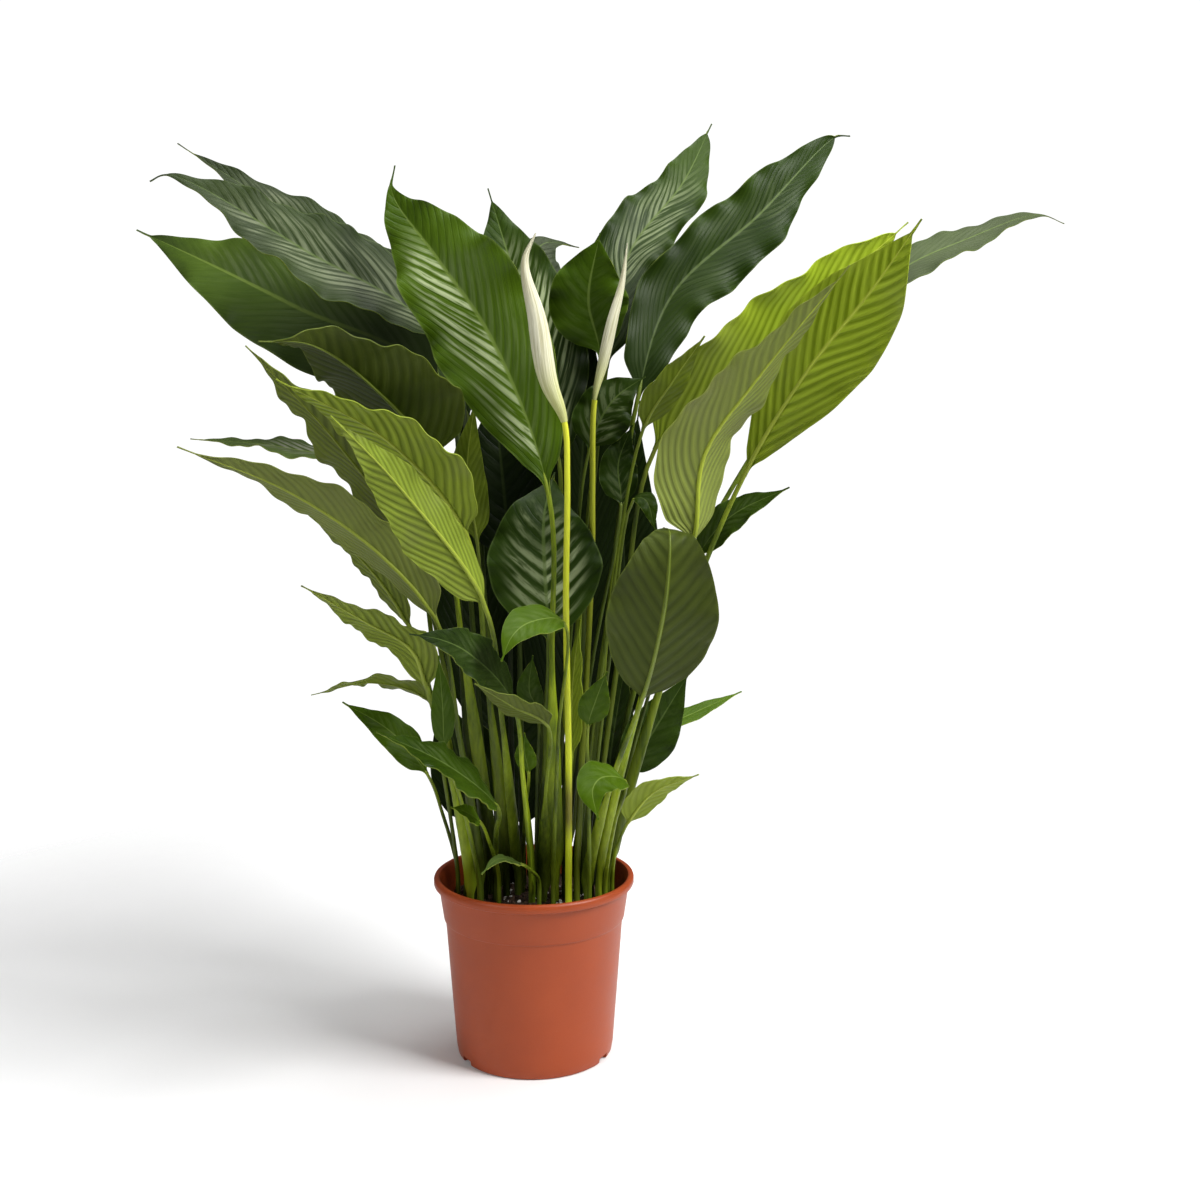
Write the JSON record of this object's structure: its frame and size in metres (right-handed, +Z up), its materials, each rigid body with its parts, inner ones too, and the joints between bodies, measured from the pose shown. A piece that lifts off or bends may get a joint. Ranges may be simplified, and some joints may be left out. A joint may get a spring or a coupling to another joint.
{
  "type": "potted peace lily",
  "caption": "Leafy peace lily in a tapered plastic nursery pot: long-stalked lance-shaped leaves and slender flower stalks with furled white spathes.",
  "frame": {"origin": "centre of the pot's underside, on the surface it stands on", "axes": "+Z up, and the side of the plant that is seen first faces -Y"},
  "size_m": [0.8345, 0.4614, 0.8114],
  "materials": {
    "pot": "satin terracotta-coloured plastic",
    "soil": "damp potting mix with white perlite",
    "leaf": "glossy above, matte and paler below",
    "stalk": "smooth yellow-green",
    "spathe": "matte cream white"
  },
  "bodies": {
    "root": {"pot": "pot", "soil": "soil", "leaf_01": "leaf", "leaf_02": "leaf", "leaf_03": "leaf", "leaf_04": "leaf", "leaf_05": "leaf", "leaf_06": "leaf", "leaf_07": "leaf", "leaf_08": "leaf", "leaf_09": "leaf", "leaf_10": "leaf", "leaf_11": "leaf", "leaf_12": "leaf", "leaf_13": "leaf", "leaf_14": "leaf", "leaf_15": "leaf", "leaf_16": "leaf", "leaf_17": "leaf", "leaf_18": "leaf", "leaf_19": "leaf", "leaf_20": "leaf", "leaf_21": "leaf", "leaf_22": "leaf", "leaf_23": "leaf", "leaf_24": "leaf", "leaf_25": "leaf", "leaf_26": "leaf", "leaf_27": "leaf", "leaf_28": "leaf", "leaf_29": "leaf", "leaf_30": "leaf", "leaf_31": "leaf", "leaf_32": "leaf", "leaf_33": "leaf", "leaf_34": "leaf", "leaf_35": "leaf", "leaf_36": "leaf", "leaf_37": "leaf", "leaf_38": "leaf", "leaf_39": "leaf", "leaf_40": "leaf", "leaf_41": "leaf", "leaf_42": "leaf", "leaf_43": "leaf", "leaf_44": "leaf", "leaf_45": "leaf", "leaf_46": "leaf", "leaf_47": "leaf", "leaf_48": "leaf", "leaf_49": "leaf", "leaf_50": "leaf", "leaf_51": "leaf", "leaf_52": "leaf", "leaf_53": "leaf", "leaf_54": "leaf", "flower_stalk_1": "stalk", "spathe_1": "spathe", "flower_stalk_2": "stalk", "spathe_2": "spathe"}
  },
  "joints": []
}
